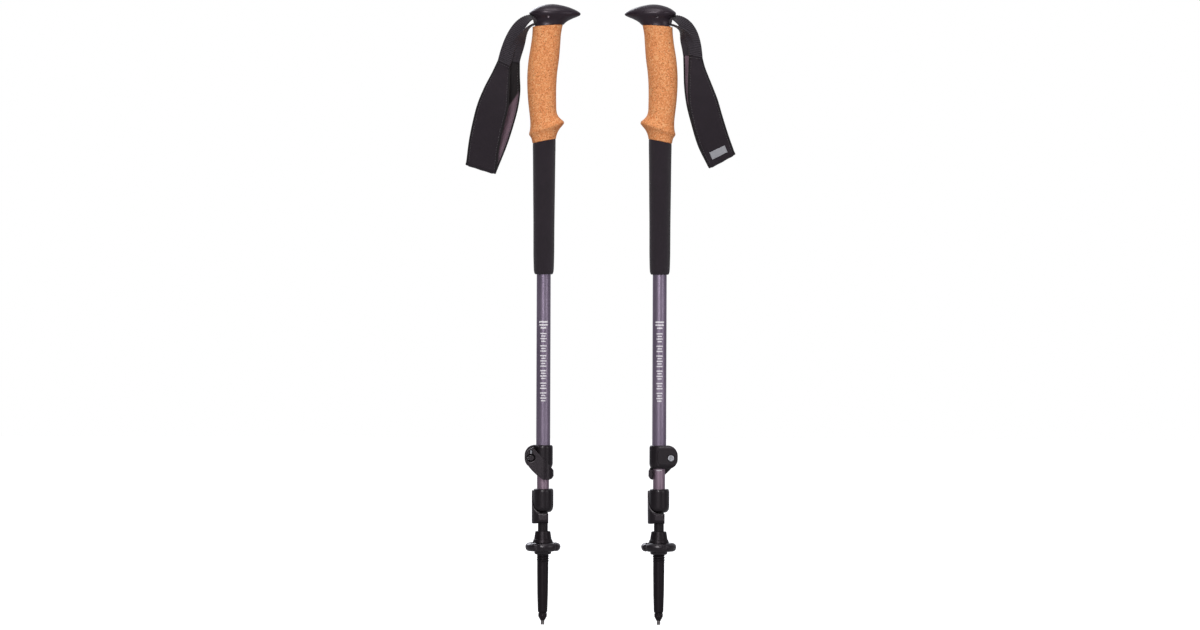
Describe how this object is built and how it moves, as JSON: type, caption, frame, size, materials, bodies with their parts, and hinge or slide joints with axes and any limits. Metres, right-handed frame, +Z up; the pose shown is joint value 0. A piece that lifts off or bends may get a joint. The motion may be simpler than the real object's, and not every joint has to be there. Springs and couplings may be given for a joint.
{
  "type": "trekking poles",
  "caption": "Pair of collapsed telescopic trekking poles with beaked heads on cork grips, padded wrist straps, cam lever locks, round baskets and hard tips.",
  "frame": {"origin": "on the ground plane under the tips, midway between the two poles", "axes": "+Z up along the poles, +X from the left pole to the right pole, +Y away from the viewer, so the front faces -Y"},
  "size_m": [0.2712, 0.0363, 0.6203],
  "materials": {
    "head_plastic": "soft-touch moulding with a fine grain",
    "core_nylon": "moulded nylon",
    "cork": "natural agglomerated cork, sanded, with darker lenticels",
    "foam": "closed-cell EVA foam, finely pitted",
    "steel": "zinc-plated steel",
    "webbing": "ribbed nylon webbing",
    "strap_pad": "padded knit over foam with a lighter brushed lining",
    "upper_anodising": "satin anodised tube",
    "middle_anodising": "satin anodised tube",
    "lower_anodising": "satin dark anodised tube",
    "lock_plastic": "glass-filled nylon",
    "lever_plastic": "moulded plastic with a slight sheen",
    "guide_nylon": "natural nylon, hidden in the tubes",
    "ferrule_plastic": "moulded plastic",
    "basket_plastic": "flexible moulded plastic with a sheen",
    "nose_plastic": "hard moulded plastic",
    "carbide": "sintered tungsten carbide"
  },
  "bodies": {
    "left_grip": {"left_grip_head": "head_plastic", "left_grip_core": "core_nylon", "left_cork_grip": "cork", "left_foam_sleeve": "foam", "left_strap_pin": "steel", "left_upper_tube": "upper_anodising", "left_upper_collar": "lock_plastic", "left_upper_barrel": "steel", "left_upper_screw": "steel", "left_upper_washer": "steel"},
    "left_wedge_body": {"left_strap_wedge": "core_nylon", "left_strap_anchor": "webbing"},
    "left_strap": {"left_strap_webbing": "webbing", "left_strap_pad": "strap_pad"},
    "left_upper_lever_body": {"left_upper_lever": "lever_plastic"},
    "left_middle_slider": {"left_middle_guide": "guide_nylon"},
    "left_middle": {"left_middle_tube": "middle_anodising", "left_lower_collar": "lock_plastic", "left_lower_barrel": "steel", "left_lower_screw": "steel", "left_lower_washer": "steel"},
    "left_lower_lever_body": {"left_lower_lever": "lever_plastic"},
    "left_lower_slider": {"left_lower_guide": "guide_nylon"},
    "left_lower": {"left_lower_tube": "lower_anodising", "left_ferrule": "ferrule_plastic", "left_tip_nose": "nose_plastic", "left_carbide_tip": "carbide"},
    "left_basket_body": {"left_basket": "basket_plastic"},
    "right_grip": {"right_grip_head": "head_plastic", "right_grip_core": "core_nylon", "right_cork_grip": "cork", "right_foam_sleeve": "foam", "right_strap_pin": "steel", "right_upper_tube": "upper_anodising", "right_upper_collar": "lock_plastic", "right_upper_barrel": "steel", "right_upper_screw": "steel", "right_upper_washer": "steel"},
    "right_wedge_body": {"right_strap_wedge": "core_nylon", "right_strap_anchor": "webbing"},
    "right_strap": {"right_strap_webbing": "webbing", "right_strap_pad": "strap_pad"},
    "right_upper_lever_body": {"right_upper_lever": "lever_plastic"},
    "right_middle_slider": {"right_middle_guide": "guide_nylon"},
    "right_middle": {"right_middle_tube": "middle_anodising", "right_lower_collar": "lock_plastic", "right_lower_barrel": "steel", "right_lower_screw": "steel", "right_lower_washer": "steel"},
    "right_lower_lever_body": {"right_lower_lever": "lever_plastic"},
    "right_lower_slider": {"right_lower_guide": "guide_nylon"},
    "right_lower": {"right_lower_tube": "lower_anodising", "right_ferrule": "ferrule_plastic", "right_tip_nose": "nose_plastic", "right_carbide_tip": "carbide"},
    "right_basket_body": {"right_basket": "basket_plastic"}
  },
  "joints": [
    {"name": "pair_spread", "type": "slide", "parent": "left_grip", "child": "right_grip", "axis": [1, 0, 0], "range_m": [0, 0.3]},
    {"name": "left_wedge_release", "type": "slide", "parent": "left_grip", "child": "left_wedge_body", "axis": [-0.9781, 0, -0.2079], "range_m": [0, 0.003]},
    {"name": "left_strap_swing", "type": "hinge", "parent": "left_wedge_body", "child": "left_strap", "pos_m": [-0.0722, 0, 0.6028], "axis": [0, 1, 0], "range_deg": [-3, 27]},
    {"name": "left_upper_lever_open", "type": "hinge", "parent": "left_grip", "child": "left_upper_lever_body", "pos_m": [-0.0698, -0.0082, 0.1669], "axis": [0, 0, -1], "range_deg": [0, 100]},
    {"name": "left_middle_extend", "type": "slide", "parent": "left_grip", "child": "left_middle_slider", "axis": [0, 0, -1], "range_m": [0, 0.35]},
    {"name": "left_middle_turn", "type": "hinge", "parent": "left_middle_slider", "child": "left_middle", "pos_m": [-0.058, 0, 0.3], "axis": [0, 0, 1], "continuous": true},
    {"name": "left_lower_lever_open", "type": "hinge", "parent": "left_middle", "child": "left_lower_lever_body", "pos_m": [-0.0662, 0.0118, 0.1231], "axis": [0, 0, -1], "range_deg": [0, 100]},
    {"name": "left_lower_extend", "type": "slide", "parent": "left_middle", "child": "left_lower_slider", "axis": [0, 0, -1], "range_m": [0, 0.35]},
    {"name": "left_lower_turn", "type": "hinge", "parent": "left_lower_slider", "child": "left_lower", "pos_m": [-0.058, 0, 0.3], "axis": [0, 0, 1], "continuous": true},
    {"name": "left_basket_off", "type": "slide", "parent": "left_lower", "child": "left_basket_body", "axis": [0, 0, -1], "range_m": [0, 0.085]},
    {"name": "right_wedge_release", "type": "slide", "parent": "right_grip", "child": "right_wedge_body", "axis": [0.9781, 0, -0.2079], "range_m": [0, 0.003]},
    {"name": "right_strap_swing", "type": "hinge", "parent": "right_wedge_body", "child": "right_strap", "pos_m": [0.0722, 0, 0.6028], "axis": [0, -1, 0], "range_deg": [-3, 27]},
    {"name": "right_upper_lever_open", "type": "hinge", "parent": "right_grip", "child": "right_upper_lever_body", "pos_m": [0.0698, 0.0082, 0.1669], "axis": [0, 0, -1], "range_deg": [0, 100]},
    {"name": "right_middle_extend", "type": "slide", "parent": "right_grip", "child": "right_middle_slider", "axis": [0, 0, -1], "range_m": [0, 0.35]},
    {"name": "right_middle_turn", "type": "hinge", "parent": "right_middle_slider", "child": "right_middle", "pos_m": [0.058, 0, 0.3], "axis": [0, 0, 1], "continuous": true},
    {"name": "right_lower_lever_open", "type": "hinge", "parent": "right_middle", "child": "right_lower_lever_body", "pos_m": [0.0498, 0.0118, 0.1231], "axis": [0, 0, -1], "range_deg": [0, 100]},
    {"name": "right_lower_extend", "type": "slide", "parent": "right_middle", "child": "right_lower_slider", "axis": [0, 0, -1], "range_m": [0, 0.35]},
    {"name": "right_lower_turn", "type": "hinge", "parent": "right_lower_slider", "child": "right_lower", "pos_m": [0.058, 0, 0.3], "axis": [0, 0, 1], "continuous": true},
    {"name": "right_basket_off", "type": "slide", "parent": "right_lower", "child": "right_basket_body", "axis": [0, 0, -1], "range_m": [0, 0.085]}
  ]
}
